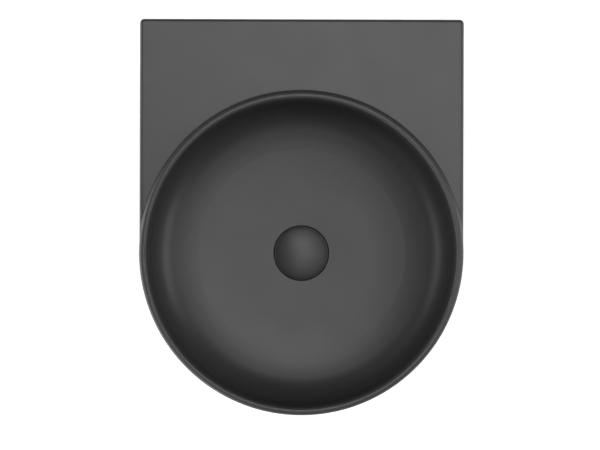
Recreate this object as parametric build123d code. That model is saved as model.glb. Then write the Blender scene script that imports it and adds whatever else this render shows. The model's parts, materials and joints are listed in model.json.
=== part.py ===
from build123d import *
from math import radians, sqrt, tan
import os

# Pedestal sink: a D-shaped ceramic basin with a raised round rim, on a D-shaped hollow column,
# with a push-to-open waste, a bottle trap and the brackets that hold the column to the floor.
# Millimetres. +Z is up, the origin is on the floor on the waste's axis, the user stands at -Y
# and the wall is at +Y. Everything is symmetric about the YZ plane.

cut = 1.0                   # cutters run this far past the faces that they open

# ---------------------------------------------------------------- driving dimensions: basin
bowl_outer_r = 225.0        # the round front of the basin, half its width
wall_y = 325.0              # waste axis to the wall
rim_z = 850.0               # height of the rim above the floor
rim_width = 10.0            # thickness of the rim at its top
rim_outer_round = 5.9
rim_inner_round = 4.0
deck_drop = 12.0            # the deck lies this far below the rim
deck_thickness = 12.0
deck_edge_round = 4.5
deck_bead_r = 2.0           # concave bead where the rim rises from the deck
bead_end_y = 12.0           # the bead ends here, where the rim has almost reached the side
deck_corner_r = 6.0         # plan radius of the two back corners
basin_height = 165.0        # rim to the skirt's lower edge
skirt_wall = 11.0
skirt_inner_corner_r = 12.0
skirt_lower_round = 2.5

bowl_depth = 118.0          # rim to the bowl's floor at the edge of the waste recess
bowl_wall = 10.0
bowl_draft = 2.5            # degrees that the bowl's side leans from vertical
floor_fall = 2.0            # degrees that the bowl's floor falls to the waste
floor_lift = 9.0            # degrees that the floor's outer part rises
floor_lift_r = 120.0        # where the two parts of the floor meet
floor_crown = 450.0         # large round between them
shoulder_lift = 18.0        # degrees that the shoulder between floor and side rises
shoulder_r = 162.0          # where floor and shoulder meet
shoulder_crown = 185.0
bowl_bend = 48.0            # round between shoulder and side

recess_gap = 3.0            # between the waste cover and the side of the pocket it lies in
recess_depth = 10.0
waste_hole_gap = 2.55       # between the waste's thread and its hole
boss_margin = 14.0          # the boss reaches this far past the gasket under it
boss_thickness = 16.0       # ceramic that the waste clamps on
rib_inset = 4.0             # the ring that stands on the pedestal, in from the column's side
rib_width = 18.0
rib_below_boss = 6.0        # the rib reaches this far below the waste boss

wall_hole_r = 7.0
wall_hole_spacing = 280.0
wall_hole_below_deck = 58.0

# ---------------------------------------------------------------- driving dimensions: pedestal
pedestal_r = 150.0
pedestal_wall = 12.0
pedestal_wall_gap = 20.0    # clear of the building's wall, for skirting and pipes
pedestal_lip = 28.0         # width of the two back edges
pedestal_corner_r = 6.0
pedestal_top_thickness = 12.0
pedestal_top_hole_r = 72.0
pedestal_top_margin = 6.0   # top plate reaches this far behind the rib
pedestal_edge_round = 3.0
gasket_thickness = 3.0
gasket_margin = 1.0

bracket_y = 200.0
bracket_width = 30.0
bracket_plate = 3.0
bracket_foot = 40.0
bracket_height = 65.0
bracket_bend_r = 5.0
floor_hole_r = 3.3
bolt_gap = 0.3              # radial gap round the side screws in their brackets
floor_hole_inset = 24.0     # from the column's inner face
side_screw_z = 45.0
side_screw_r = 3.0
side_screw_tail = 12.5      # beyond the nut
screw_head_r = 5.5
screw_head_height = 3.6
screw_head_round = 1.5
socket_r = 1.7
sleeve_wall = 1.3
sleeve_flange_r = 7.5
sleeve_flange_thickness = 1.5
screw_cap_side = 1.4
screw_cap_top = 1.4         # above the screw's head
screw_cap_gap = 0.4
nut_across_flats = 10.0
nut_height = 5.0

# ---------------------------------------------------------------- driving dimensions: waste
thread_gap = 0.08           # radial gap between parts that screw together
seat_gap = 0.3              # between the moving cover and its seat
running_gap = 0.1           # radial gap of the parts that slide
flange_lap = 8.5            # the flange reaches this far past the hole
flange_thickness = 3.0
flange_round = 1.2
flange_gasket_inset = 1.0
flange_gasket_thickness = 1.5
drain_thread_r = 20.95      # G 1 1/4
drain_wall = 2.65
drain_length = 66.0
thread_pitch = 2.309
thread_depth = 0.9
thread_flank = 0.6          # half width of a thread groove for each millimetre of its depth
lower_gasket_lap = 12.5
lower_gasket_thickness = 4.0
lower_gasket_cone = 2.5
lower_gasket_cone_gap = 0.5
slip_washer_inset = 2.0
slip_washer_thickness = 1.5
back_nut_wall = 5.05        # thread to flats
back_nut_corner = 2.2       # flats to the rounded corners
back_nut_chamfer = 1.2
back_nut_height = 10.0

cap_r = 36.0
cap_edge_height = 4.0
cap_dome = 5.2
cap_edge_round = 2.0
holder_lap = 5.0            # the holder lies this far over the seal
holder_thickness = 2.5
holder_hub_r = 6.0
holder_hub_height = 6.0
seal_width = 7.5
seal_land = 1.7             # flange inside the seal
seal_thickness = 2.0
cap_travel = 8.0

stem_r = 3.0
guide_pin_relief = 0.3      # the stem's lower end, inside the spring, is this much slimmer
guide_pin_gap = 2.0         # between the pin's end and the barrel's floor
piston_wall = 1.8           # piston and rotor outside the stem
piston_height = 3.0
barrel_wall = 2.0
barrel_shoulder = 2.0
barrel_shoulder_height = 2.0
barrel_length = 44.0
barrel_floor = 2.0
barrel_above_shoulder = 18.0
weep_hole_r = 1.0
spider_z_drop = 34.0        # flange top to the top of the spider
spider_height = 8.0
spider_hub_wall = 2.5
spider_arm_width = 3.0
spider_arms = 4
rotor_height = 5.0
rotor_teeth = 4
rotor_tooth_height = 1.2
rotor_tooth_length = 5.8    # run of a tooth's ramp
cam_height = 7.0
cam_gap = 0.4               # radial gap between the stem and the fixed cam
spring_wire_r = 0.45
spring_side_gap = 0.45
spring_turns = 7
spring_end_gap = 0.05

# ---------------------------------------------------------------- driving dimensions: trap
pipe_r = 16.0
pipe_wall = 1.5
pipe_chamfer = 0.8
pipe_collar_gap = 0.65      # the collar is this much smaller than the waste's thread
pipe_collar_height = 2.5
union_nut_wall = 4.55
union_nut_grip = 15.0       # length of the nut that is on the waste's thread
nut_lip = 3.0
nut_lip_gap = 0.4
nut_ribs = 12
nut_rib_r = 1.6
nut_rib_inset = 1.0         # the ribs stop this short of the nut's ends
nut_chamfer = 0.8
union_washer_thickness = 2.0
outlet_z = 520.0            # height of the outlet in the wall
trap_shoulder = 10.0        # the trap's body outside its necks
trap_wall = 3.0
trap_shoulder_round = 5.0
trap_roof = 5.0             # head's roof above the outlet's neck
trap_spigot = 18.0          # head's lower end below the outlet's neck
neck_wall = 5.9
outlet_bore_gap = 2.0       # the outlet's neck round its pipe
neck_height = 16.0
neck_seal_height = 4.0
neck_seal_inset = 1.5
neck_seal_taper = 1.0
neck_nut_wall = 5.5
neck_nut_grip = 14.0
cup_skirt_overlap = 14.0
cup_wall = 2.5
cup_length = 82.0
cup_floor_round = 8.0
cup_grip_flutes = 16
cup_flute_r = 2.2
cup_flute_depth = 1.0
cup_seal_height = 2.4
cup_seal_inset = 0.4
dip_clearance = 24.0        # dip tube's end above the cup's floor
outlet_neck_length = 24.0
outlet_insert = 20.0        # how far the outlet pipe is in its neck
socket_depth = 40.0         # stretch of the outlet pipe that the building's socket slides over
depth_groove_width = 3.0    # rolled groove that marks the end of that stretch
depth_groove_depth = 0.4

# ---------------------------------------------------------------- sizes worked out from them
deck_z = rim_z - deck_drop
deck_under_z = deck_z - deck_thickness
skirt_z = rim_z - basin_height
floor_z = rim_z - bowl_depth
recess_z = floor_z - recess_depth
boss_z = recess_z - boss_thickness
rib_z = boss_z - rib_below_boss
pedestal_z = rib_z - gasket_thickness
rim_inner_r = bowl_outer_r - rim_width
pedestal_back_y = wall_y - pedestal_wall_gap
pedestal_inner_r = pedestal_r - pedestal_wall
rib_outer_r = pedestal_r - rib_inset
rib_inner_r = rib_outer_r - rib_width
side_screw_hole_r = side_screw_r + sleeve_wall + 2 * running_gap
side_screw_length = (
    sleeve_flange_thickness + pedestal_wall + bracket_plate + nut_height + side_screw_tail
)
screw_cap_r = sleeve_flange_r + running_gap + screw_cap_side
screw_cap_height = sleeve_flange_thickness + screw_head_height + screw_cap_top

recess_r = cap_r + recess_gap
waste_hole_r = drain_thread_r + waste_hole_gap
flange_r = waste_hole_r + flange_lap
drain_bore_r = drain_thread_r - drain_wall
lower_gasket_r = waste_hole_r + lower_gasket_lap
boss_r = lower_gasket_r + boss_margin
slip_washer_r = lower_gasket_r - slip_washer_inset
back_nut_flat_r = drain_thread_r + back_nut_wall
seal_inner_r = drain_bore_r + seal_land
seal_outer_r = seal_inner_r + seal_width
holder_r = seal_inner_r + holder_lap
piston_r = stem_r + piston_wall
barrel_bore_r = piston_r + 2 * running_gap
barrel_outer_r = barrel_bore_r + barrel_wall
barrel_shoulder_r = barrel_outer_r + barrel_shoulder
spider_hub_r = barrel_outer_r + spider_hub_wall
spring_mean_r = barrel_bore_r - spring_wire_r - spring_side_gap
pipe_collar_r = drain_thread_r - pipe_collar_gap
neck_r = pipe_r + running_gap + neck_wall
trap_r = neck_r + trap_shoulder

flange_z = recess_z + flange_gasket_thickness
flange_top_z = flange_z + flange_thickness
drain_end_z = flange_top_z - drain_length
slip_washer_z = boss_z - lower_gasket_thickness - slip_washer_thickness
back_nut_z = slip_washer_z - back_nut_height
seal_z = flange_top_z + seat_gap
holder_z = seal_z + seal_thickness
cap_z = holder_z + holder_thickness
spider_z = flange_top_z - spider_z_drop
barrel_top_z = spider_z + barrel_shoulder_height + barrel_above_shoulder
barrel_z = barrel_top_z - barrel_length
cam_z = barrel_top_z - barrel_floor - cam_height
rotor_z = cam_z - cap_travel - rotor_tooth_height - rotor_height - running_gap
piston_z = rotor_z - piston_height
spring_z = barrel_z + barrel_floor

union_washer_z = drain_end_z - union_washer_thickness
collar_z = union_washer_z - pipe_collar_height
trap_roof_z = outlet_z + neck_r + trap_roof
neck_top_z = trap_roof_z + neck_height
head_bottom_z = outlet_z - neck_r - trap_spigot
cup_top_z = head_bottom_z + cup_skirt_overlap
cup_z = cup_top_z - cup_length
dip_z = cup_z + cup_wall + dip_clearance
outlet_neck_y = trap_r - trap_wall + outlet_neck_length


# ---------------------------------------------------------------- shape helpers
def above(z, shape):
    return Pos(0, 0, z) * shape


def ring(inner_r, outer_r, z_low, z_high):
    return above(z_low, extrude(Circle(outer_r) - Circle(inner_r), z_high - z_low))


def disc(r, z_low, z_high):
    return above(z_low, extrude(Circle(r), z_high - z_low))


def turned(*points):
    """Solid of revolution about Z of a closed outline of (radius, height) points."""
    return revolve(Plane.XZ * make_face(Polyline(*points, close=True)), Axis.Z)


def d_plan(r, back_y, corner_r):
    """Round front of radius r about the origin, straight sides and a flat back."""
    plan = Circle(r) + Pos(0, back_y / 2) * Rectangle(2 * r, back_y)
    return fillet(plan.vertices().group_by(Axis.Y)[-1], corner_r)


def edges_at(shape, z):
    return shape.edges().filter_by_position(Axis.Z, z - 0.01, z + 0.01)


def circles_at(shape, z, r):
    """The circular edges of radius r at height z."""
    rounds = edges_at(shape, z).filter_by(GeomType.CIRCLE)
    return rounds.filter_by(lambda edge: abs(edge.radius - r) < 0.01)


def beside(x_parts):
    """The part and its mirror image in the YZ plane, as separate solids of one node."""
    return Compound(children=[x_parts, mirror(x_parts, Plane.YZ)])


def thread(r, z_low, z_high):
    """Ring grooves that stand for a thread on a shank of radius r."""
    half = (thread_depth + cut) * thread_flank
    count = int((z_high - z_low) / thread_pitch - 0.5)
    groove = turned((r - thread_depth, 0), (r + cut, -half), (r + cut, half))
    return [above(z_low + (index + 1) * thread_pitch, groove) for index in range(count)]


def ribbed_nut(bore_r, outer_r, z_low, z_high):
    """A hand-tightened nut: a plain ring with round grip ribs about its outside."""
    body = disc(outer_r, z_low, z_high)
    spots = PolarLocations(outer_r, nut_ribs)
    rib = disc(nut_rib_r, z_low + nut_rib_inset, z_high - nut_rib_inset)
    body += [spot * rib for spot in spots]
    body = chamfer(circles_at(body, z_low, outer_r) + circles_at(body, z_high, outer_r), nut_chamfer)
    return body - disc(bore_r, z_low - cut, z_high + cut)


# ---------------------------------------------------------------- basin
def bowl_profile(grow):
    """The bowl's inside, or its outside when grow is the wall's thickness: a floor that falls to
    the waste and lifts further out, a shoulder, a bend and a leaning side that passes the rim."""
    draft = tan(radians(bowl_draft))
    slopes = [tan(radians(a)) for a in (floor_fall, floor_lift, shoulder_lift)]
    lift_z = floor_z + (floor_lift_r - recess_r) * slopes[0]
    shoulder_z = lift_z + (shoulder_r - floor_lift_r) * slopes[1]
    starts = [(recess_r, floor_z), (floor_lift_r, lift_z), (shoulder_r, shoulder_z)]
    axis_z = [z - r * s - grow * sqrt(1 + s * s) for (r, z), s in zip(starts, slopes)]

    def corner(r, line):
        return r, axis_z[line] + r * slopes[line]

    lift_at = (axis_z[0] - axis_z[1]) / (slopes[1] - slopes[0])
    shoulder_at = (axis_z[1] - axis_z[2]) / (slopes[2] - slopes[1])
    side_top_r = rim_inner_r + grow * sqrt(1 + draft * draft)
    bend_at = (side_top_r - (rim_z - axis_z[2]) * draft) / (1 - slopes[2] * draft)
    top_z = rim_z + cut
    path = FilletPolyline(
        corner(0, 0),
        corner(lift_at, 1),
        corner(shoulder_at, 2),
        corner(bend_at, 2),
        (side_top_r + cut * draft, top_z),
        (0, top_z),
        radius=[0, floor_crown + grow, shoulder_crown + grow, bowl_bend + grow, 0, 0],
        close=True,
    )
    return revolve(Plane.XZ * make_face(path), Axis.Z)


def basin():
    shell = above(skirt_z, extrude(d_plan(bowl_outer_r, wall_y, deck_corner_r), deck_z - skirt_z))
    shell = fillet(edges_at(shell, deck_z), deck_edge_round)
    shell = fillet(edges_at(shell, skirt_z), skirt_lower_round)
    hollow = d_plan(bowl_outer_r - skirt_wall, wall_y - skirt_wall, skirt_inner_corner_r)
    shell -= above(skirt_z - cut, extrude(hollow, deck_under_z - skirt_z + cut))
    rim = disc(bowl_outer_r, deck_under_z, rim_z)
    rim = fillet(circles_at(rim, rim_z, bowl_outer_r), rim_outer_round)
    body = with_bead(shell + rim)
    body += bowl_profile(bowl_wall) & disc(bowl_outer_r, boss_z, deck_z)
    body += ring(rib_inner_r, rib_outer_r, rib_z, deck_under_z)
    body += disc(boss_r, boss_z, floor_z)
    body -= bowl_profile(0)
    body -= disc(recess_r, recess_z, floor_z + cut)
    body -= disc(waste_hole_r, boss_z - cut, floor_z)
    body -= wall_holes()
    return fillet(circles_at(body, rim_z, rim_inner_r), rim_inner_round)


def with_bead(body):
    """The block and rim with the bead along the part of the rim's foot that is on the deck."""
    half = Box(4 * bowl_outer_r, 2 * wall_y, 2 * rim_z)
    rear = body & Pos(0, bead_end_y + wall_y, rim_z) * half
    front = body & Pos(0, bead_end_y - wall_y, rim_z) * half
    return front + fillet(circles_at(rear, deck_z, bowl_outer_r), deck_bead_r)


def wall_holes():
    hole_z = deck_z - wall_hole_below_deck
    drill = Rot(90, 0, 0) * Cylinder(wall_hole_r, 3 * skirt_wall)
    return [Pos(side * wall_hole_spacing / 2, wall_y, hole_z) * drill for side in (-1, 1)]


# ---------------------------------------------------------------- pedestal
def pedestal():
    column = extrude(d_plan(pedestal_r, pedestal_back_y, pedestal_corner_r), pedestal_z)
    column = fillet(edges_at(column, pedestal_z) + edges_at(column, 0), pedestal_edge_round)
    inside = d_plan(pedestal_inner_r, pedestal_back_y - pedestal_wall, pedestal_corner_r)
    column -= above(-cut, extrude(inside, pedestal_z - pedestal_top_thickness + cut))
    slot_width = 2 * (pedestal_r - pedestal_wall - pedestal_lip)
    plate_back_y = rib_outer_r + pedestal_top_margin
    slot_depth = pedestal_back_y - plate_back_y + cut
    slot = extrude(Rectangle(slot_width, slot_depth), pedestal_z + 2 * cut)
    column -= Pos(0, plate_back_y + slot_depth / 2, -cut) * slot
    column -= disc(pedestal_top_hole_r, 0, pedestal_z + cut)
    drill = Rot(0, 90, 0) * Cylinder(side_screw_hole_r, 2 * (pedestal_r + cut))
    return column - Pos(0, bracket_y, side_screw_z) * drill


def seat_gasket():
    return ring(rib_inner_r + gasket_margin, rib_outer_r - gasket_margin, pedestal_z, rib_z)


# ---------------------------------------------------------------- pedestal fixings
def floor_bracket():
    """L-shaped bracket: a foot on the floor and a leg up the column's inner face."""
    face_x = pedestal_inner_r
    outline = [
        (face_x, 0),
        (face_x, bracket_height),
        (face_x - bracket_plate, bracket_height),
        (face_x - bracket_plate, bracket_plate),
        (face_x - bracket_foot, bracket_plate),
        (face_x - bracket_foot, 0),
    ]
    strip = Plane.XZ * make_face(Polyline(*outline, close=True))
    plate = Pos(0, bracket_y + bracket_width / 2, 0) * extrude(strip, bracket_width)
    inner = plate.edges().filter_by(Axis.Y).filter_by(
        lambda edge: abs(edge.center().X - face_x + bracket_plate) < 0.01
        and abs(edge.center().Z - bracket_plate) < 0.01
    )
    plate = fillet(inner, bracket_bend_r)
    plate -= Pos(face_x - floor_hole_inset, bracket_y, 0) * Cylinder(floor_hole_r, 4 * bracket_plate)
    screw_hole = Rot(0, 90, 0) * Cylinder(side_screw_r + bolt_gap, 4 * bracket_plate)
    return plate - Pos(face_x, bracket_y, side_screw_z) * screw_hole


def along_x(x, shape):
    """A shape made about +Z, laid with its axis along +X at the side screw, starting at x."""
    return Pos(x, bracket_y, side_screw_z) * Rot(0, 90, 0) * shape


def bracket_nut():
    body = extrude(RegularPolygon(nut_across_flats / 2, 6, major_radius=False), nut_height)
    body -= Cylinder(side_screw_r + thread_gap, 4 * nut_height)
    return along_x(pedestal_inner_r - bracket_plate - nut_height, body)


def bracket_screw():
    head_x = pedestal_r + sleeve_flange_thickness
    head = disc(screw_head_r, 0, screw_head_height)
    head = fillet(edges_at(head, screw_head_height), screw_head_round)
    socket = extrude(RegularPolygon(socket_r, 6), screw_head_height)
    shank = disc(side_screw_r, -side_screw_length, 0)
    return along_x(head_x, head + shank - above(screw_head_height / 2, socket))


def screw_sleeve():
    flange = disc(sleeve_flange_r, 0, sleeve_flange_thickness)
    tube = disc(side_screw_hole_r - running_gap, -pedestal_wall, 0)
    bore = disc(side_screw_r + running_gap, -pedestal_wall - cut, sleeve_flange_thickness + cut)
    return along_x(pedestal_r, flange + tube - bore)


def screw_cap():
    """Push-on cover over the screw's head."""
    outside = disc(screw_cap_r, 0, screw_cap_height)
    outside = fillet(edges_at(outside, screw_cap_height), screw_cap_height / 2)
    inside = disc(sleeve_flange_r + running_gap, -cut, screw_cap_height - screw_cap_top + screw_cap_gap)
    return along_x(pedestal_r, outside - inside)


# ---------------------------------------------------------------- waste
def drain_body():
    """Flange, threaded shank and the spider that carries the latch."""
    flange = disc(flange_r, flange_z, flange_top_z)
    flange = fillet(edges_at(flange, flange_top_z), flange_round)
    shank = disc(drain_thread_r, drain_end_z, flange_z)
    shank -= thread(drain_thread_r, drain_end_z, boss_z)
    body = flange + shank - disc(drain_bore_r, drain_end_z - cut, flange_top_z + cut)
    arm_length = drain_bore_r + cut
    arm = Pos(arm_length / 2, 0, spider_z - spider_height / 2)
    arm *= Box(arm_length, spider_arm_width, spider_height)
    body += disc(spider_hub_r, spider_z - spider_height, spider_z)
    body += [spot * arm for spot in PolarLocations(0, spider_arms)]
    return body - disc(barrel_outer_r, spider_z - spider_height - cut, spider_z + cut)


def flange_gasket():
    return ring(waste_hole_r, flange_r - flange_gasket_inset, recess_z, flange_z)


def lower_gasket():
    """Rubber washer, coned towards the hole that it seals."""
    bore_r = drain_thread_r + thread_gap
    low_z = boss_z - lower_gasket_thickness
    return turned(
        (bore_r, low_z),
        (lower_gasket_r, low_z),
        (lower_gasket_r, boss_z),
        (waste_hole_r - lower_gasket_cone_gap, boss_z),
        (bore_r, boss_z + lower_gasket_cone),
    )


def slip_washer():
    top_z = slip_washer_z + slip_washer_thickness
    return ring(drain_thread_r + thread_gap, slip_washer_r, slip_washer_z, top_z)


def back_nut():
    hexagon = RegularPolygon(back_nut_flat_r, 6, major_radius=False)
    body = above(back_nut_z, extrude(hexagon, back_nut_height))
    turned_blank = disc(back_nut_flat_r + back_nut_corner, back_nut_z, slip_washer_z)
    body &= chamfer(turned_blank.edges().filter_by(GeomType.CIRCLE), back_nut_chamfer)
    return body - disc(drain_thread_r + thread_gap, back_nut_z - cut, slip_washer_z + cut)


def latch_barrel():
    """Cartridge tube: screwed into the spider, closed below but for a weep hole, bushed above."""
    body = disc(barrel_outer_r - thread_gap, barrel_z, barrel_top_z)
    body += disc(barrel_shoulder_r, spider_z, spider_z + barrel_shoulder_height)
    body -= disc(barrel_bore_r, barrel_z + barrel_floor, barrel_top_z - barrel_floor)
    body -= disc(stem_r + running_gap, barrel_top_z - barrel_floor - cut, barrel_top_z + cut)
    return body - disc(weep_hole_r, barrel_z - cut, barrel_z + barrel_floor + cut)


def teeth(inner_r, outer_r, z):
    """Ring of saw teeth whose roots are on the plane at z."""
    outline = Polyline(
        (0, -cut),
        (0, rotor_tooth_height),
        (rotor_tooth_length, 0),
        (rotor_tooth_length, -cut),
        close=True,
    )
    wedge = above(z, extrude(Plane.XZ * make_face(outline), outer_r))
    tooth = wedge & ring(inner_r, outer_r, z - cut, z + rotor_tooth_height)
    return [spot * tooth for spot in PolarLocations(0, rotor_teeth)]


def cam_sleeve():
    """Fixed sleeve at the top of the barrel, with teeth below that turn the rotor."""
    body = ring(stem_r + cam_gap, barrel_bore_r - running_gap, cam_z, cam_z + cam_height)
    return body - teeth(stem_r, barrel_bore_r + cut, cam_z)


def latch_rotor():
    """Ratchet ring on the plunger."""
    inner_r = stem_r + running_gap
    body = ring(inner_r, piston_r, rotor_z + running_gap, rotor_z + rotor_height)
    return body + teeth(inner_r, piston_r, rotor_z + rotor_height)


def plunger_stem():
    """Rod with a piston that the spring pushes, and a pin below that guides the spring."""
    rod = disc(stem_r, piston_z, holder_z)
    piston = disc(piston_r, piston_z, piston_z + piston_height)
    pin = disc(stem_r - guide_pin_relief, spring_z + guide_pin_gap, piston_z)
    return rod + piston + pin


def latch_spring():
    height = piston_z - spring_z - 2 * (spring_wire_r + spring_end_gap)
    coil = Helix(pitch=height / spring_turns, height=height, radius=spring_mean_r)
    coil = above(spring_z + spring_wire_r + spring_end_gap, coil)
    start = Plane(coil @ 0, z_dir=coil % 0)
    return sweep(start * Circle(spring_wire_r), path=coil)


def cap_holder():
    plate = disc(holder_r, holder_z, cap_z)
    hub = disc(holder_hub_r, holder_z - holder_hub_height, holder_z)
    return plate + hub - disc(stem_r + thread_gap, holder_z - holder_hub_height - cut, holder_z)


def cap_seal():
    return ring(seal_inner_r, seal_outer_r, seal_z, holder_z)


def drain_cap():
    """Ceramic cover with a shallow dome."""
    edge_z = cap_z + cap_edge_height
    dome_r = (cap_r**2 + cap_dome**2) / (2 * cap_dome)
    ball = above(edge_z + cap_dome - dome_r, Sphere(dome_r))
    body = disc(cap_r, cap_z, edge_z + cap_dome) & ball
    return fillet(circles_at(body, edge_z, cap_r), cap_edge_round)


# ---------------------------------------------------------------- trap
def union_nut():
    low_z, top_z = collar_z - nut_lip, drain_end_z + union_nut_grip
    body = ribbed_nut(pipe_r + nut_lip_gap, drain_thread_r + union_nut_wall, low_z, top_z)
    return body - disc(drain_thread_r + thread_gap, collar_z, top_z + cut)


def union_washer():
    return ring(pipe_r - pipe_wall, pipe_collar_r, union_washer_z, drain_end_z)


def inlet_pipe():
    """Flanged pipe that runs down through the trap's neck and is its dip tube."""
    body = ring(pipe_r - pipe_wall, pipe_r, dip_z, union_washer_z)
    return body + ring(pipe_r - pipe_wall, pipe_collar_r, collar_z, union_washer_z)


def neck_seal(z):
    """Tapered rubber ring about the pipe, on the neck's end."""
    return turned(
        (pipe_r, z),
        (neck_r - neck_seal_inset, z),
        (neck_r - neck_seal_inset - neck_seal_taper, z + neck_seal_height),
        (pipe_r, z + neck_seal_height),
    )


def neck_nut(z):
    """Nut that squeezes the seal on a neck that ends at z."""
    low_z, lip_z = z - neck_nut_grip, z + neck_seal_height
    body = ribbed_nut(pipe_r + nut_lip_gap, neck_r + neck_nut_wall, low_z, lip_z + nut_lip)
    return body - disc(neck_r + thread_gap, low_z - cut, lip_z)


def towards_wall(shape):
    """A shape made about +Z from the origin, laid along +Y on the outlet's axis."""
    return Pos(0, 0, outlet_z) * Rot(-90, 0, 0) * shape


def trap_head():
    """Domed head with a neck on top, a neck to the wall and a spigot below for the cup."""
    outside = disc(trap_r, cup_top_z + cup_seal_height, trap_roof_z)
    outside = fillet(edges_at(outside, trap_roof_z), trap_shoulder_round)
    spigot_r = trap_r - cup_wall - running_gap
    outside += disc(spigot_r, head_bottom_z, cup_top_z + cup_seal_height)
    outside += disc(neck_r, trap_roof_z - trap_wall, neck_top_z)
    outside -= thread(neck_r, trap_roof_z, neck_top_z)
    side_neck = disc(neck_r, 0, outlet_neck_y) - thread(neck_r, trap_r, outlet_neck_y)
    outside += towards_wall(side_neck)
    inside = disc(spigot_r - trap_wall, head_bottom_z - cut, trap_roof_z - trap_wall)
    inside += towards_wall(disc(pipe_r + outlet_bore_gap, 0, outlet_neck_y + cut))
    inside += disc(pipe_r + running_gap, outlet_z, neck_top_z + cut)
    return outside - inside


def cup_seal():
    outer_r = trap_r - cup_seal_inset
    return ring(trap_r - cup_wall, outer_r, cup_top_z, cup_top_z + cup_seal_height)


def trap_cup():
    """Clean-out cup with finger flutes."""
    outside = disc(trap_r, cup_z, cup_top_z)
    outside = fillet(edges_at(outside, cup_z), cup_floor_round)
    flute = disc(cup_flute_r, cup_z + cup_floor_round, cup_top_z - cup_skirt_overlap)
    flute_centre_r = trap_r + cup_flute_r - cup_flute_depth
    outside -= [spot * flute for spot in PolarLocations(flute_centre_r, cup_grip_flutes)]
    inside = disc(trap_r - cup_wall, cup_z + cup_wall, cup_top_z + cut)
    return outside - fillet(edges_at(inside, cup_z + cup_wall), cup_floor_round - cup_wall)


def outlet_seal():
    return towards_wall(neck_seal(outlet_neck_y))


def outlet_nut():
    return towards_wall(neck_nut(outlet_neck_y))


def outlet_pipe():
    """Straight pipe that ends at the wall's face."""
    tube = ring(pipe_r - pipe_wall, pipe_r, outlet_neck_y - outlet_insert, wall_y)
    tube = chamfer(circles_at(tube, wall_y, pipe_r), pipe_chamfer)
    groove_y = wall_y - socket_depth - depth_groove_width
    groove = ring(pipe_r - depth_groove_depth, pipe_r + cut, groove_y, wall_y - socket_depth)
    return towards_wall(tube - groove)


# ---------------------------------------------------------------- the nodes
NODES = {
    "basin": basin,
    "pedestal": pedestal,
    "seat_gasket": seat_gasket,
    "floor_brackets": lambda: beside(floor_bracket()),
    "bracket_nuts": lambda: beside(bracket_nut()),
    "bracket_screws": lambda: beside(bracket_screw()),
    "screw_sleeves": lambda: beside(screw_sleeve()),
    "screw_caps": lambda: beside(screw_cap()),
    "drain_body": drain_body,
    "flange_gasket": flange_gasket,
    "lower_gasket": lower_gasket,
    "slip_washer": slip_washer,
    "back_nut": back_nut,
    "latch_barrel": latch_barrel,
    "cam_sleeve": cam_sleeve,
    "latch_rotor": latch_rotor,
    "plunger_stem": plunger_stem,
    "latch_spring": latch_spring,
    "cap_holder": cap_holder,
    "cap_seal": cap_seal,
    "drain_cap": drain_cap,
    "union_nut": union_nut,
    "union_washer": union_washer,
    "inlet_pipe": inlet_pipe,
    "trap_top_seal": lambda: neck_seal(neck_top_z),
    "trap_top_nut": lambda: neck_nut(neck_top_z),
    "trap_head": trap_head,
    "cup_seal": cup_seal,
    "trap_cup": trap_cup,
    "outlet_seal": outlet_seal,
    "outlet_nut": outlet_nut,
    "outlet_pipe": outlet_pipe,
}

os.makedirs("parts", exist_ok=True)
for name, make in NODES.items():
    export_step(make(), f"parts/{name}.step")
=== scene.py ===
import json
from math import atan2, ceil, cos, hypot, pi, radians, sin, sqrt, tan

import bmesh
import bpy
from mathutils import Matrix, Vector


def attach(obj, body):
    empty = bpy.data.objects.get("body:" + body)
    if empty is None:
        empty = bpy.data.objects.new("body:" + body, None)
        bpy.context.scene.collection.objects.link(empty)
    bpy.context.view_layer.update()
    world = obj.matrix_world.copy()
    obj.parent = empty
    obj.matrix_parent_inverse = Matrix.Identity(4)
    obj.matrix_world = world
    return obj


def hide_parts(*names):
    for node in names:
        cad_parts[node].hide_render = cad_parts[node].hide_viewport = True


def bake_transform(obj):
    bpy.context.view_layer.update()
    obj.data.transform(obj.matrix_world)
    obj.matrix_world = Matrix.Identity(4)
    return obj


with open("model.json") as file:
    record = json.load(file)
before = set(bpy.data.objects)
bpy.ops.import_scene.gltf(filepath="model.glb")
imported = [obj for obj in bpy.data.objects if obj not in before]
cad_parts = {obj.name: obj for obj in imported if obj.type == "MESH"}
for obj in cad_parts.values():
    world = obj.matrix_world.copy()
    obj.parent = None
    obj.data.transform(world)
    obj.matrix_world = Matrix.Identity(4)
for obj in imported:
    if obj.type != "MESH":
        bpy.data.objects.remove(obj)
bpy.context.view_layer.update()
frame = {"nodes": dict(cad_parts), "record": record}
scene = bpy.context.scene
MM = 0.001    # shapes are written in millimetres, Blender holds metres

# How finely rounds are cut, and how meshes are cleaned and shaded
STEP_ALONG = 12.0                       # longest step on a large round
SHARP_ANGLE = radians(32)
MERGE_WITHIN, SLIVER = 2e-6, 1e-6       # metres
ROUND_EDGE = (0, 22.5, 45, 67.5, 90)    # degrees through the rounded edge of an extrusion
GUARD = 25.0                            # how far from a tall extrusion's ends its guard rings lie


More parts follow.
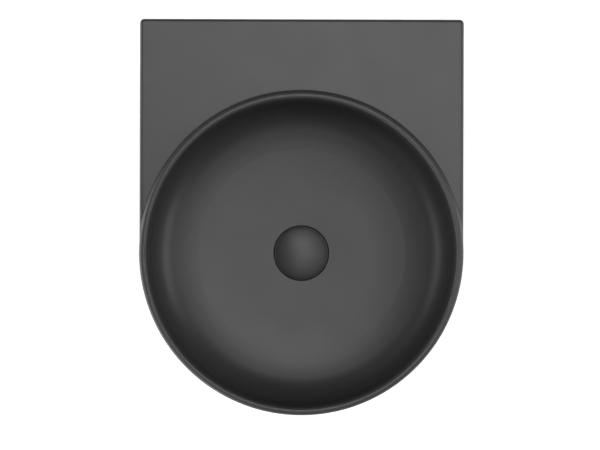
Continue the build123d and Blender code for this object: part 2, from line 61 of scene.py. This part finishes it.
# ------------------------------------------------------------------ mesh helpers
def rounded(points, turn=10.0):
    """A path through (a, b, radius) points with each corner rounded to its radius,
    in steps of at most turn degrees."""
    path = []
    for index, (a, b, radius) in enumerate(points):
        here = Vector((a, b))
        if radius == 0:
            path.append((a, b))
            continue
        back = Vector(points[index - 1][:2]) - here
        ahead = Vector(points[(index + 1) % len(points)][:2]) - here
        half = back.angle(ahead) / 2
        middle = (back.normalized() + ahead.normalized()).normalized()
        centre = here + middle * (radius / sin(half))
        start = here + back.normalized() * (radius / tan(half)) - centre
        end = here + ahead.normalized() * (radius / tan(half)) - centre
        sweep = atan2(start.x * end.y - start.y * end.x, start.dot(end))
        steps = max(2, ceil(abs(sweep) * max(1 / radians(turn), radius / STEP_ALONG)))
        for step in range(steps + 1):
            angle = sweep * step / steps
            path.append((
                centre.x + start.x * cos(angle) - start.y * sin(angle),
                centre.y + start.x * sin(angle) + start.y * cos(angle),
            ))
    return path


def quads(rows, count):
    """Faces between rows of points that each close on themselves: pairs of row numbers, and
    how many points a row has."""
    return [
        (row * count + here, row * count + (here + 1) % count,
         after * count + (here + 1) % count, after * count + here)
        for row, after in rows for here in range(count)
    ]


def finished(name, points, faces):
    """An object of points in metres and faces, cleaned, facing outwards and smooth."""
    mesh = bpy.data.meshes.new(name)
    mesh.from_pydata(points, [], faces)
    work = bmesh.new()
    work.from_mesh(mesh)
    bmesh.ops.remove_doubles(work, verts=work.verts, dist=MERGE_WITHIN)
    bmesh.ops.dissolve_degenerate(work, edges=work.edges, dist=SLIVER)
    bmesh.ops.recalc_face_normals(work, faces=work.faces)
    work.to_mesh(mesh)
    work.free()
    mesh.shade_smooth()
    mesh.set_sharp_from_angle(angle=SHARP_ANGLE)
    obj = bpy.data.objects.new(name, mesh)
    scene.collection.objects.link(obj)
    return obj


def mesh_object(name, rings, closed_loop=False):
    """Quads between closed rings of points, each ring as long as the others. In a closed loop
    the last ring joins the first."""
    points = [(x * MM, y * MM, z * MM) for ring in rings for x, y, z in ring]
    rows = [(row, row + 1) for row in range(len(rings) - 1)]
    if closed_loop:
        rows.append((len(rings) - 1, 0))
    return finished(name, points, quads(rows, len(rings[0])))


def settle(obj):
    """Applies the object's modifiers."""
    view = bpy.context.evaluated_depsgraph_get()
    mesh = bpy.data.meshes.new_from_object(obj.evaluated_get(view))
    obj.modifiers.clear()
    obj.data = mesh
    return obj


def weigh(obj):
    """Flat faces keep their own normals where they run into a round."""
    weighted = obj.modifiers.new("weigh", "WEIGHTED_NORMAL")
    weighted.keep_sharp = True
    weighted.weight = 90
    return settle(obj)


def combine(obj, other, operation):
    """Boolean with another closed piece, which is used up."""
    step = obj.modifiers.new("combine", "BOOLEAN")
    step.operation, step.solver, step.object = operation, "EXACT", other
    settle(obj)
    bpy.data.objects.remove(other)
    return obj


def extruded(name, path, rounds, low, high):
    """A closed clockwise plan pulled up from low to high, its edges rounded by each point's
    radius. A tall one has guard rings near its ends, so that cuts there leave the shading
    between them smooth."""
    count = len(path)
    inward = []
    for index in range(count):
        along = Vector(path[(index + 1) % count]) - Vector(path[index - 1])
        inward.append(Vector((along.y, -along.x)).normalized())
    levels = [(radians(a), low, 1) for a in ROUND_EDGE]
    if high - low > 4 * GUARD:
        levels += [(radians(90), low + GUARD, 1), (radians(90), high - GUARD, -1)]
    levels += [(radians(a), high, -1) for a in reversed(ROUND_EDGE)]
    points = []
    for angle, level, way in levels:
        for (x, y), normal, r in zip(path, inward, rounds):
            inset, rise = r * (1 - sin(angle)), r * (1 - cos(angle))
            points.append((
                (x + normal.x * inset) * MM, (y + normal.y * inset) * MM, (level + way * rise) * MM,
            ))
    faces = quads([(row, row + 1) for row in range(len(levels) - 1)], count)
    faces.append(tuple(range(count)))
    faces.append(tuple(range((len(levels) - 1) * count, len(levels) * count)))
    return finished(name, points, faces)


def turned(name, corners, steps=128):
    """A closed outline of (radius, height, rounding) corners turned about the Z axis."""
    path = rounded(corners)
    turns = [2 * pi * i / steps for i in range(steps)]
    rings = [[(r * cos(turn), r * sin(turn), z) for r, z in path] for turn in turns]
    return mesh_object(name, rings, closed_loop=True)


def laid_along_x(obj, y, z):
    """Turns a piece made about the Z axis so that it lies along X at y and z."""
    for vertex in obj.data.vertices:
        a, b, c = vertex.co
        vertex.co = (c, y * MM + a, z * MM + b)
    return obj


def inside_plan(point, r, back, corner):
    """How far inside the edge of a D-shaped plan a point is."""
    if point.y <= 0:
        return r - point.length
    from_side, from_back = r - abs(point.x), back - point.y
    if from_side < corner and from_back < corner:
        return corner - hypot(corner - from_side, corner - from_back)
    return min(from_side, from_back)


# ------------------------------------------------------------------ basin
# Plan: a half circle in front, straight sides, a flat back with small corners
BASIN_R, WALL_Y, CORNER_R = 225.0, 325.0, 6.0
SIDE_STEPS, BACK_STEPS, CORNER_STEPS, FRONT_STEPS = 40, 56, 10, 120
# Heights
RIM_Z, DECK_Z, UNDER_Z, SKIRT_Z = 850.0, 838.0, 826.0, 685.0
FLOOR_Z, RECESS_Z, BOSS_Z, RIB_Z = 732.0, 722.0, 706.0, 700.0
# Radii from the waste's axis
RIM_IN, RECESS_R, HOLE_R, BOSS_R = 215.0, 39.0, 23.5, 50.0
RIB_OUT, RIB_IN, RIB_LEAD = 146.0, 128.0, 3.0
UNDERSIDE_AT = (115.0, 100.0)           # where the underside between rib and boss has points
# The bowl: start, slope in degrees and round before it of each part of the floor, then the bend
# and the side
FLOOR_PARTS = ((39.0, 2, 0), (120.0, 9, 450.0), (162.0, 18, 185.0))
BEND, BOWL_WALL, DRAFT = 48.0, 10.0, tan(radians(2.5))
# Roundings
RIM_ROUND, RIM_IN_ROUND, EDGE, BEAD, LOWER = 5.9, 4.0, 4.5, 2.0, 2.5
RIB_ROUND, HOLE_ROUND = 1.5, 0.8
BOWL_TURN = 5                           # degrees, finer than elsewhere because the bowl shows most
# The skirt
SKIRT_WALL, INNER_CORNER = 11.0, 12.0
SKIRT_SHARES = (0.05, 0.35, 0.65, 0.95)    # where its outside has points, from the deck down
INSIDE_LOW, INSIDE_HIGH = 10, 8         # how far from its ends its inside has points
WALL_HOLE_R, WALL_HOLE_X, WALL_HOLE_Z, WALL_HOLE_STEPS = 7, 140.0, 780, 48
DRILL_IN, DRILL_OUT = 20, 5             # how far a wall drill goes each way from the back
DRUM_SHARES = (0.75, 0.5, 0.25)         # where the rim's outside has points, from its top down
THIRDS = (0.33, 0.67)                   # two points between two others


def d_outline(r, back, corner):
    """Points of the D-shaped plan with their outward normals, anticlockwise from the right side."""
    spots = []

    def side(start, end, normal, count):
        for index in range(count):
            u = (1 - cos(pi * index / count)) / 2
            spots.append((start + (end - start) * u, normal))

    side(Vector((r, 0)), Vector((r, back - corner)), Vector((1, 0)), SIDE_STEPS)
    for index in range(CORNER_STEPS):
        angle = pi / 2 * index / CORNER_STEPS
        turn = Vector((cos(angle), sin(angle)))
        spots.append((Vector((r - corner, back - corner)) + corner * turn, turn))
    side(Vector((r - corner, back)), Vector((corner - r, back)), Vector((0, 1)), BACK_STEPS)
    for index in range(CORNER_STEPS):
        angle = pi / 2 * index / CORNER_STEPS
        turn = Vector((-sin(angle), cos(angle)))
        spots.append((Vector((corner - r, back - corner)) + corner * turn, turn))
    side(Vector((-r, back - corner)), Vector((-r, 0)), Vector((-1, 0)), SIDE_STEPS)
    for index in range(FRONT_STEPS):
        turn = Vector((-cos(pi * index / FRONT_STEPS), -sin(pi * index / FRONT_STEPS)))
        spots.append((r * turn, turn))
    return spots


def reach_of_d(direction, r, back, corner):
    """How far a D-shaped plan reaches from the origin in a direction."""
    if direction.y <= 0:
        return r
    x, y = abs(direction.x), direction.y
    far = min(r / x if x > 1e-9 else 1e9, back / y)
    if far * x > r - corner and far * y > back - corner:
        cx, cy = r - corner, back - corner
        along = x * cx + y * cy
        far = along + sqrt(max(0.0, along * along - cx * cx - cy * cy + corner * corner))
    return far


def bowl_side(grow):
    """The bowl's profile from its axis out to the rim, as corners for rounded(). The inside has
    grow 0, and the outside is the same profile moved out square to its surface by grow."""
    corners = []
    height, start_before = FLOOR_Z, 0.0     # of the inside, where the part before starts
    slope, at_axis = 0.0, 0.0               # the line of the part before, drawn on to the axis
    for start, angle, crown in FLOOR_PARTS:
        height += slope * (start - start_before)
        steeper = tan(radians(angle))
        line_at_axis = height - start * steeper - grow / cos(radians(angle))
        meet = (at_axis - line_at_axis) / (steeper - slope) if corners else 0.0
        corners.append((meet, line_at_axis + meet * steeper, crown + grow if crown else 0))
        slope, at_axis, start_before = steeper, line_at_axis, start
    top_r = RIM_IN + grow * sqrt(1 + DRAFT ** 2)
    bend_r = (top_r - (RIM_Z - at_axis) * DRAFT) / (1 - slope * DRAFT)
    return corners + [(bend_r, at_axis + bend_r * slope, BEND + grow), (top_r, RIM_Z, 0)]


def height_on(path, r):
    """Height of a profile at a radius."""
    for (r0, z0), (r1, z1) in zip(path, path[1:]):
        if r0 <= r <= r1:
            return z0 + (z1 - z0) * (r - r0) / (r1 - r0)


def turned_profile(outside):
    """The (r, z) line that is the same all round: from the bowl's outside over the seating rib,
    the boss and the waste pocket, up the bowl's inside and over the rim."""
    def under(r, rounding):
        return (r, height_on(outside, r), rounding)

    return rounded([
        under(RIB_OUT + RIB_LEAD, 0), under(RIB_OUT, RIB_ROUND),
        (RIB_OUT, RIB_Z, RIB_ROUND), (RIB_IN, RIB_Z, RIB_ROUND), under(RIB_IN, RIB_ROUND),
        *[under(r, 0) for r in UNDERSIDE_AT],
        under(BOSS_R, RIB_ROUND), (BOSS_R, BOSS_Z, RIB_ROUND),
        (HOLE_R, BOSS_Z, HOLE_ROUND), (HOLE_R, RECESS_Z, HOLE_ROUND),
        (RECESS_R, RECESS_Z, RIB_ROUND), (RECESS_R, FLOOR_Z, HOLE_ROUND),
        *bowl_side(0.0)[1:4],
        (RIM_IN, RIM_Z, RIM_IN_ROUND), (BASIN_R, RIM_Z, RIM_ROUND), (BASIN_R, DECK_Z, 0),
    ], BOWL_TURN)[:-1]


def deck_height(point):
    """Height of the deck's surface, rounded up to the rim and down at its edge."""
    inset = max(0.0, min(EDGE, inside_plan(point, BASIN_R, WALL_Y, CORNER_R)))
    drop = EDGE - sqrt(max(0.0, EDGE ** 2 - (EDGE - inset) ** 2))
    out = max(BASIN_R, min(BASIN_R + BEAD, point.length))
    rise = BEAD - sqrt(max(0.0, BEAD ** 2 - (BASIN_R + BEAD - out) ** 2))
    return DECK_Z - drop + rise


def deck_line(start, spot, normal):
    """Points from the rim's foot over the deck to its edge, which fall into one where the rim
    is also the outline."""
    share = min(1.0, (spot - start).length / (EDGE + BEAD + 0.5))
    beads = [BEAD * (1 - cos(radians(a))) * share for a in (0, 18, 36, 54, 72, 90)]
    edges = [EDGE * (1 - sin(radians(a))) * share for a in (0, 15, 30, 45, 60, 75, 90)]
    if spot.length - BASIN_R > 1e-6:
        deck = [start + (spot - start).normalized() * bead for bead in beads]
        foot, edge_from = deck[-1], spot - normal * (EDGE * share)
        deck += [foot + (edge_from - foot) * u for u in THIRDS]
        deck += [spot - normal * edge for edge in edges]
    else:
        deck = [start] * (len(beads) + len(THIRDS) + len(edges))
    return [(point.x, point.y, deck_height(point)) for point in deck]


def skirt_down(spot, normal, edge_z):
    """Points down the skirt's outside and round its lower edge."""
    wall = [(spot.x, spot.y, edge_z + (SKIRT_Z + LOWER - edge_z) * u) for u in SKIRT_SHARES]
    for a in (0, 22, 45, 67, 90):
        inset = (1 - cos(radians(a)))
        wall.append((
            spot.x - normal.x * LOWER * inset, spot.y - normal.y * LOWER * inset,
            SKIRT_Z + LOWER - LOWER * sin(radians(a)),
        ))
    return wall


def inside_up(direction, reach, meet, top, low):
    """Points up the skirt's inside, in under the deck and down to the bowl's outside at low."""
    low_r, low_z = low
    levels = (SKIRT_Z, SKIRT_Z + INSIDE_LOW, (SKIRT_Z + top) / 2, top - INSIDE_HIGH, top)
    line = [(reach, z) for z in levels]
    line += [(reach - (reach - meet) * 0.5, top), (meet, top)]
    line += [(meet + (low_r - meet) * u, top + (low_z - top) * u) for u in THIRDS]
    return [(direction.x * r, direction.y * r, z) for r, z in line]


def basin_mesh():
    """The basin as closed rings that run all the way round its section, one for each point of
    its plan."""
    outer = bowl_side(BOWL_WALL)
    outer_top = outer[-1][0]
    outside = rounded(outer, BOWL_TURN)
    side_low = [spot for spot in reversed(outside[:-1]) if spot[0] > RIB_OUT + RIB_LEAD + 1]
    round_all = turned_profile(outside)
    rings = []
    for spot, normal in d_outline(BASIN_R, WALL_Y, CORNER_R):
        direction = spot.normalized()
        start = direction * BASIN_R
        reach = reach_of_d(direction, BASIN_R - SKIRT_WALL, WALL_Y - SKIRT_WALL, INNER_CORNER)
        meet = min(reach, outer_top - (RIM_Z - UNDER_Z) * DRAFT)
        top = min(UNDER_Z, height_on(outside, meet))
        clear = [(r, z) if r < meet else (meet, top) for r, z in side_low]
        bowl = [(direction.x * r, direction.y * r, z) for r, z in clear + round_all]
        deck = deck_line(start, spot, normal)
        foot_z, edge_z = deck[0][2], deck[-1][2]
        drum = [(start.x, start.y, foot_z + (RIM_Z - RIM_ROUND - foot_z) * u)
                for u in DRUM_SHARES]
        rings.append(
            bowl + drum + deck + skirt_down(spot, normal, edge_z)
            + inside_up(direction, reach, meet, top, clear[0])
        )
    basin = mesh_object("basin_ware", rings, closed_loop=True)
    for x in (-WALL_HOLE_X, WALL_HOLE_X):
        combine(basin, wall_drill(x), "DIFFERENCE")
    return weigh(basin)


def wall_drill(x):
    """A closed cylinder through the basin's back, for a wall bolt."""
    turns = [2 * pi * i / WALL_HOLE_STEPS for i in range(WALL_HOLE_STEPS)]
    ends = (WALL_Y - DRILL_IN, WALL_Y + DRILL_OUT)
    rims = [[(x + WALL_HOLE_R * cos(turn), y, WALL_HOLE_Z + WALL_HOLE_R * sin(turn))
             for turn in turns] for y in ends]
    first, last = [[(x, y, WALL_HOLE_Z)] * WALL_HOLE_STEPS for y in ends]
    return mesh_object("drill", [first, *rims, last])


# ------------------------------------------------------------------ column
COLUMN_R, COLUMN_BACK, COLUMN_WALL, COLUMN_TOP = 150.0, 305.0, 12.0, 697.0
COLUMN_CORNER, LIP_ROUND = 6, 1.2
SLOT_X, PLATE_Z, PLATE_BACK, PLATE_HOLE = 110.0, 685.0, 152.0, 72.0
OUTER_EDGE, OTHER_EDGE = 3.0, 1.0       # roundings of the ends of the walls
SCREW_HOLE_R, SCREW_HOLE_Y, SCREW_HOLE_Z = 4.5, 200.0, 45.0
BESIDE_SLOT = 5                         # width beside the slot over which the rounding changes
BITE, PAST = 1, 9                       # how far the plate goes into the wall, a cut past the plate
HOLE_STEPS_FINE, HOLE_STEPS = 96, 48
FRONT_ROUND, COLUMN_TURN = 120, 15      # steps in the half circle, degrees in other roundings


def round_front(r):
    """The half circle of a D-shaped plan, from its right end to its left end."""
    angles = [pi * i / FRONT_ROUND for i in range(FRONT_ROUND + 1)]
    return [(r * cos(angle), -r * sin(angle), 0) for angle in angles]


def column_mesh():
    """The hollow column with its slot at the back, its top plate and its holes."""
    r, back = COLUMN_R, COLUMN_BACK
    inner, lip = COLUMN_R - COLUMN_WALL, COLUMN_BACK - COLUMN_WALL
    path = rounded([
        (SLOT_X, back, LIP_ROUND), (SLOT_X + BESIDE_SLOT, back, 0), (r, back, COLUMN_CORNER),
        *round_front(r),
        (-r, back, COLUMN_CORNER), (-SLOT_X - BESIDE_SLOT, back, 0), (-SLOT_X, back, LIP_ROUND),
        (-SLOT_X, lip, LIP_ROUND), (-inner, lip, COLUMN_CORNER),
        *reversed(round_front(inner)),
        (inner, lip, COLUMN_CORNER), (SLOT_X, lip, LIP_ROUND),
    ], COLUMN_TURN)
    rounds = []
    for x, y in path:
        outer = inside_plan(Vector((x, y)), COLUMN_R, COLUMN_BACK, COLUMN_CORNER) < 0.5
        clear = abs(x) > SLOT_X + BESIDE_SLOT - 1
        rounds.append(OUTER_EDGE if clear and outer else OTHER_EDGE)
    column = extruded("column_ware", path, rounds, 0.0, COLUMN_TOP)
    reach = inner + BITE
    plan = rounded([
        (reach, PLATE_BACK, LIP_ROUND), *round_front(reach), (-reach, PLATE_BACK, LIP_ROUND),
    ], COLUMN_TURN)
    plate = extruded("plate", plan, [OTHER_EDGE] * len(plan), PLATE_Z, COLUMN_TOP)
    combine(column, plate, "UNION")
    hole = turned("hole", [
        (0, PLATE_Z - PAST, 0), (PLATE_HOLE, PLATE_Z - PAST, 0),
        (PLATE_HOLE, COLUMN_TOP + PAST, 0), (0, COLUMN_TOP + PAST, 0),
    ], HOLE_STEPS_FINE)
    combine(column, hole, "DIFFERENCE")
    half = COLUMN_R + 10
    drill = turned("drill", [
        (0, -half, 0), (SCREW_HOLE_R, -half, 0), (SCREW_HOLE_R, half, 0), (0, half, 0),
    ], HOLE_STEPS)
    combine(column, laid_along_x(drill, SCREW_HOLE_Y, SCREW_HOLE_Z), "DIFFERENCE")
    return weigh(column)


# ------------------------------------------------------------------ waste
CAP_R, CAP_FLAT_R, CAP_LOW, CAP_EDGE, CAP_TOP = 36.0, 34, 731.3, 735.3, 740.5
CAP_ROUND_LOW, CAP_ROUND_TOP, DOME_STEPS, CAP_STEPS = 0.6, 2.0, 24, 144
SPRING_LOW, SPRING_HIGH, SPRING_R, WIRE_R = 671.0, 685.7, 4.1, 0.45
COILS, COIL_STEPS, WIRE_STEPS = 8.5, 24, 10
END_COIL = 0.75                         # coils that lie flat at each end


def cap_mesh():
    """The waste's cover: a disc with a low dome."""
    ball = (CAP_R * CAP_R + (CAP_TOP - CAP_EDGE) ** 2) / (2 * (CAP_TOP - CAP_EDGE))
    radii = [CAP_FLAT_R - CAP_FLAT_R * i / DOME_STEPS for i in range(DOME_STEPS + 1)]
    dome = [(r, CAP_TOP - ball + sqrt(ball * ball - r ** 2), 0) for r in radii]
    return weigh(turned("cap_ware", [
        (0, CAP_LOW, 0), (CAP_R, CAP_LOW, CAP_ROUND_LOW), (CAP_R, CAP_EDGE, CAP_ROUND_TOP), *dome,
    ], CAP_STEPS))


def spring_mesh():
    """A round wire wound into a compression spring with flat end coils."""
    free = COILS - 2 * END_COIL
    rings = []
    for index in range(int(COILS * COIL_STEPS) + 1):
        angle = 2 * pi * index / COIL_STEPS
        share = min(1.0, max(0.0, (angle / (2 * pi) - END_COIL) / free))
        squeeze = (angle / (2 * pi) - free * share) * 2 * WIRE_R
        z = SPRING_LOW + squeeze + (SPRING_HIGH - SPRING_LOW - 2 * END_COIL * 2 * WIRE_R) * share
        out = Vector((cos(angle), sin(angle), 0))
        ring = []
        for k in range(WIRE_STEPS):
            across, up = cos(2 * pi * k / WIRE_STEPS), sin(2 * pi * k / WIRE_STEPS)
            point = out * (SPRING_R + WIRE_R * across) + Vector((0, 0, z + WIRE_R * up))
            ring.append(tuple(point))
        rings.append(ring)
    first, last = [
        [tuple(sum((Vector(p) for p in ring), Vector()) / WIRE_STEPS)] * WIRE_STEPS
        for ring in (rings[0], rings[-1])
    ]
    return mesh_object("spring_coil", [first, *rings, last])


# ------------------------------------------------------------------ materials
LATHE_WAVER, LATHE_STRENGTH, LATHE_DEPTH = 0.6, 0.35, 0.01
BUMP_STRENGTH = 0.6
DARK_END, LIGHT_END = 0.3, 0.7          # where a noise's patches begin and end


def finish_of(name, colour, spread, roughness, uneven, metallic=0.0,
              patch=14.0, grain=900.0, depth=0.02, pores=False, rings=0.0):
    """A material whose colour and roughness wander by patches and whose surface has a fine grain.
    patch and grain are noise scales, about features per metre; depth is the grain's, in
    millimetres; pores makes the grain round cells; rings adds turning marks about the Z axis."""
    mat = bpy.data.materials.new(name)
    mat.use_nodes = True
    nodes, links = mat.node_tree.nodes, mat.node_tree.links
    shader = nodes["Principled BSDF"]
    shader.inputs["Metallic"].default_value = metallic
    coords = nodes.new("ShaderNodeTexCoord")

    def noise(scale, detail):
        node = nodes.new("ShaderNodeTexNoise")
        node.inputs["Scale"].default_value = scale
        node.inputs["Detail"].default_value = detail
        links.new(coords.outputs["Object"], node.inputs["Vector"])
        return node.outputs["Fac"]

    tint = nodes.new("ShaderNodeValToRGB")
    dark, light = tint.color_ramp.elements
    dark.position, light.position = DARK_END, LIGHT_END
    dark.color = (*[c * (1 - spread) for c in colour], 1)
    light.color = (*[min(1.0, c * (1 + spread)) for c in colour], 1)
    links.new(noise(patch, 4.0), tint.inputs["Fac"])
    links.new(tint.outputs["Color"], shader.inputs["Base Color"])

    sheen = nodes.new("ShaderNodeMapRange")
    sheen.inputs["From Min"].default_value = DARK_END
    sheen.inputs["From Max"].default_value = LIGHT_END
    sheen.inputs["To Min"].default_value = roughness - uneven
    sheen.inputs["To Max"].default_value = roughness + uneven
    links.new(noise(patch * 3, 5.0), sheen.inputs["Value"])
    links.new(sheen.outputs["Result"], shader.inputs["Roughness"])

    bump = nodes.new("ShaderNodeBump")
    bump.inputs["Strength"].default_value = BUMP_STRENGTH
    bump.inputs["Distance"].default_value = depth * MM
    if pores:
        cells = nodes.new("ShaderNodeTexVoronoi")
        cells.inputs["Scale"].default_value = grain
        links.new(coords.outputs["Object"], cells.inputs["Vector"])
        links.new(cells.outputs["Distance"], bump.inputs["Height"])
    else:
        links.new(noise(grain, 3.0), bump.inputs["Height"])
    normal = bump.outputs["Normal"]
    if rings:
        lathe = nodes.new("ShaderNodeTexWave")
        lathe.bands_direction = "Z"
        lathe.inputs["Scale"].default_value = rings
        lathe.inputs["Distortion"].default_value = LATHE_WAVER
        links.new(coords.outputs["Object"], lathe.inputs["Vector"])
        turning = nodes.new("ShaderNodeBump")
        turning.inputs["Strength"].default_value = LATHE_STRENGTH
        turning.inputs["Distance"].default_value = LATHE_DEPTH * MM
        links.new(lathe.outputs["Fac"], turning.inputs["Height"])
        links.new(normal, turning.inputs["Normal"])
        normal = turning.outputs["Normal"]
    links.new(normal, shader.inputs["Normal"])
    return mat


FINISHES = {
    "matte_glaze": dict(
        colour=(0.045, 0.045, 0.0455), spread=0.04, roughness=0.40, uneven=0.015,
        patch=9.0, grain=420.0, depth=0.012),
    "chromed_brass": dict(
        colour=(0.78, 0.79, 0.81), spread=0.03, roughness=0.10, uneven=0.04, metallic=1.0,
        patch=60.0, grain=1600.0, depth=0.004),
    "raw_brass": dict(
        colour=(0.68, 0.48, 0.22), spread=0.14, roughness=0.30, uneven=0.08, metallic=1.0,
        patch=70.0, grain=2200.0, depth=0.01, rings=1100.0),
    "black_rubber": dict(
        colour=(0.022, 0.022, 0.023), spread=0.2, roughness=0.62, uneven=0.07,
        patch=120.0, grain=2500.0, depth=0.03),
    "grey_foam": dict(
        colour=(0.16, 0.16, 0.165), spread=0.18, roughness=0.92, uneven=0.05,
        patch=160.0, grain=1500.0, depth=0.25, pores=True),
    "white_plastic": dict(
        colour=(0.79, 0.79, 0.765), spread=0.03, roughness=0.36, uneven=0.06,
        patch=35.0, grain=2400.0, depth=0.012),
    "acetal": dict(
        colour=(0.82, 0.81, 0.76), spread=0.03, roughness=0.34, uneven=0.05,
        patch=90.0, grain=2600.0, depth=0.01),
    "steel": dict(
        colour=(0.58, 0.60, 0.63), spread=0.12, roughness=0.36, uneven=0.10, metallic=1.0,
        patch=110.0, grain=3000.0, depth=0.012),
    "spring_steel": dict(
        colour=(0.52, 0.53, 0.55), spread=0.10, roughness=0.28, uneven=0.06, metallic=1.0,
        patch=200.0, grain=3500.0, depth=0.008),
    "black_plastic": dict(
        colour=(0.024, 0.024, 0.025), spread=0.12, roughness=0.48, uneven=0.05,
        patch=80.0, grain=2600.0, depth=0.02, pores=True),
}
MATERIALS = {name: finish_of(name, **facts) for name, facts in FINISHES.items()}
SLOTS = {part["node"]: part["material_slot"] for part in frame["record"]["subparts"]}
for node, obj in frame["nodes"].items():
    obj.data.materials.clear()
    obj.data.materials.append(MATERIALS[SLOTS[node]])


def dress(obj, slot_name, node):
    """Gives a piece its finish and lets it stand for a CAD node."""
    obj.data.materials.clear()
    obj.data.materials.append(MATERIALS[slot_name])
    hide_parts(node)
    return obj


def place(obj, body, slot_name, node):
    """Dresses a piece and lets it move with a body."""
    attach(dress(obj, slot_name, node), body)


place(basin_mesh(), "fixed", "matte_glaze", "basin")
place(column_mesh(), "fixed", "matte_glaze", "pedestal")
place(cap_mesh(), "cap", "matte_glaze", "drain_cap")
spring = dress(spring_mesh(), "spring_steel", "latch_spring")
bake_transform(spring)


# ------------------------------------------------------------------ studio
LIGHT_CENTRE, LIGHT_REACH = Vector((0, 0.03, 0.8)), 3.0
# Name, compass direction and tilt from straight above, width and depth as seen from the basin,
# all in degrees, and brightness. The brightnesses were fitted to the photograph's shading.
SOFT_LIGHTS = (
    ("overhead", 0, 0, 16, 16, 2.88),
    ("high_right", 0, 16, 24, 13, 3.51),
    ("high_back", 90, 16, 24, 13, 6.63),
    ("high_front", 270, 16, 24, 13, 2.92),
    ("middle_right", 0, 50, 34, 20, 1.30),
    ("middle_front", 270, 50, 34, 20, 0.23),
    ("low_right", 0, 68, 42, 16, 2.71),
    ("low_left_back", 135, 68, 42, 16, 0.35),
    ("low_left", 180, 68, 42, 16, 2.24),
    ("low_left_front", 225, 68, 42, 16, 0.24),
    ("side_right", 0, 84, 45, 16, 1.91),
    ("side_left", 180, 84, 45, 16, 4.59),
    ("side_left_front", 225, 84, 45, 16, 5.13),
    ("side_front", 270, 84, 45, 16, 0.58),
    ("side_right_front", 315, 84, 45, 16, 1.28),
)
HORIZON, SKY = (0.6, 0.6, 0.6, 1), (0.02, 0.02, 0.02, 1)
HORIZON_ENDS, SKY_STARTS = 0.02, 0.16   # heights of a unit direction
FLOOR_SIZE, FLOOR_SPECULAR, FLOOR_GLOW = 60, 0.1, 0.6
# The view: its width at the height of the basin's outline, and its place in the photograph
VIEW_WIDTH, OUTLINE_Z, LENS = 0.83385, 0.8335, 200
VIEW_TURN, SHIFT_X, SHIFT_Y = radians(0.17), -0.00217, 0.04683


def soft_light(name, compass, tilt, wide, deep, brightness):
    """A soft box that faces the basin."""
    data = bpy.data.lights.new(name, "AREA")
    data.shape = "RECTANGLE"
    data.size, data.size_y = LIGHT_REACH * radians(deep), LIGHT_REACH * radians(wide)
    data.energy = brightness * pi * data.size * data.size_y
    obj = bpy.data.objects.new(name, data)
    scene.collection.objects.link(obj)
    a, z = radians(compass), radians(tilt)
    away = Vector((sin(z) * cos(a), sin(z) * sin(a), cos(z)))
    obj.location = LIGHT_CENTRE + away * LIGHT_REACH
    obj.rotation_euler = (0, z, a)


def studio_sky():
    """A world that is pale at the horizon and dark above."""
    world = bpy.data.worlds.new("studio")
    world.use_nodes = True
    nodes, links = world.node_tree.nodes, world.node_tree.links
    sky = nodes.new("ShaderNodeTexCoord")
    split = nodes.new("ShaderNodeSeparateXYZ")
    ramp = nodes.new("ShaderNodeValToRGB")
    low, high = ramp.color_ramp.elements
    low.position, high.position = HORIZON_ENDS, SKY_STARTS
    low.color, high.color = HORIZON, SKY
    links.new(sky.outputs["Generated"], split.inputs["Vector"])
    links.new(split.outputs["Z"], ramp.inputs["Fac"])
    links.new(ramp.outputs["Color"], nodes["Background"].inputs["Color"])
    scene.world = world


for light in SOFT_LIGHTS:
    soft_light(*light)
studio_sky()

bpy.ops.mesh.primitive_plane_add(size=FLOOR_SIZE, location=(0, 0, 0))
floor = bpy.context.object
floor.name = "floor"
paper = finish_of("floor_white", (0.9, 0.9, 0.9), 0.01, 0.8, 0.05,
                  patch=2.0, grain=300.0, depth=0.1)
paper_shader = paper.node_tree.nodes["Principled BSDF"]
paper_shader.inputs["Specular IOR Level"].default_value = FLOOR_SPECULAR
paper_shader.inputs["Emission Color"].default_value = (1, 1, 1, 1)
paper_shader.inputs["Emission Strength"].default_value = FLOOR_GLOW
floor.data.materials.append(paper)

camera = bpy.data.objects.new("camera", bpy.data.cameras.new("camera"))
scene.collection.objects.link(camera)
scene.camera = camera
camera.data.lens = LENS
distance = VIEW_WIDTH * camera.data.lens / camera.data.sensor_width
camera.location = (0, 0, OUTLINE_Z + distance)
camera.rotation_euler = (0, 0, VIEW_TURN)
camera.data.shift_x, camera.data.shift_y = SHIFT_X, SHIFT_Y
camera.data.clip_end = 100
scene.view_settings.view_transform = "Standard"
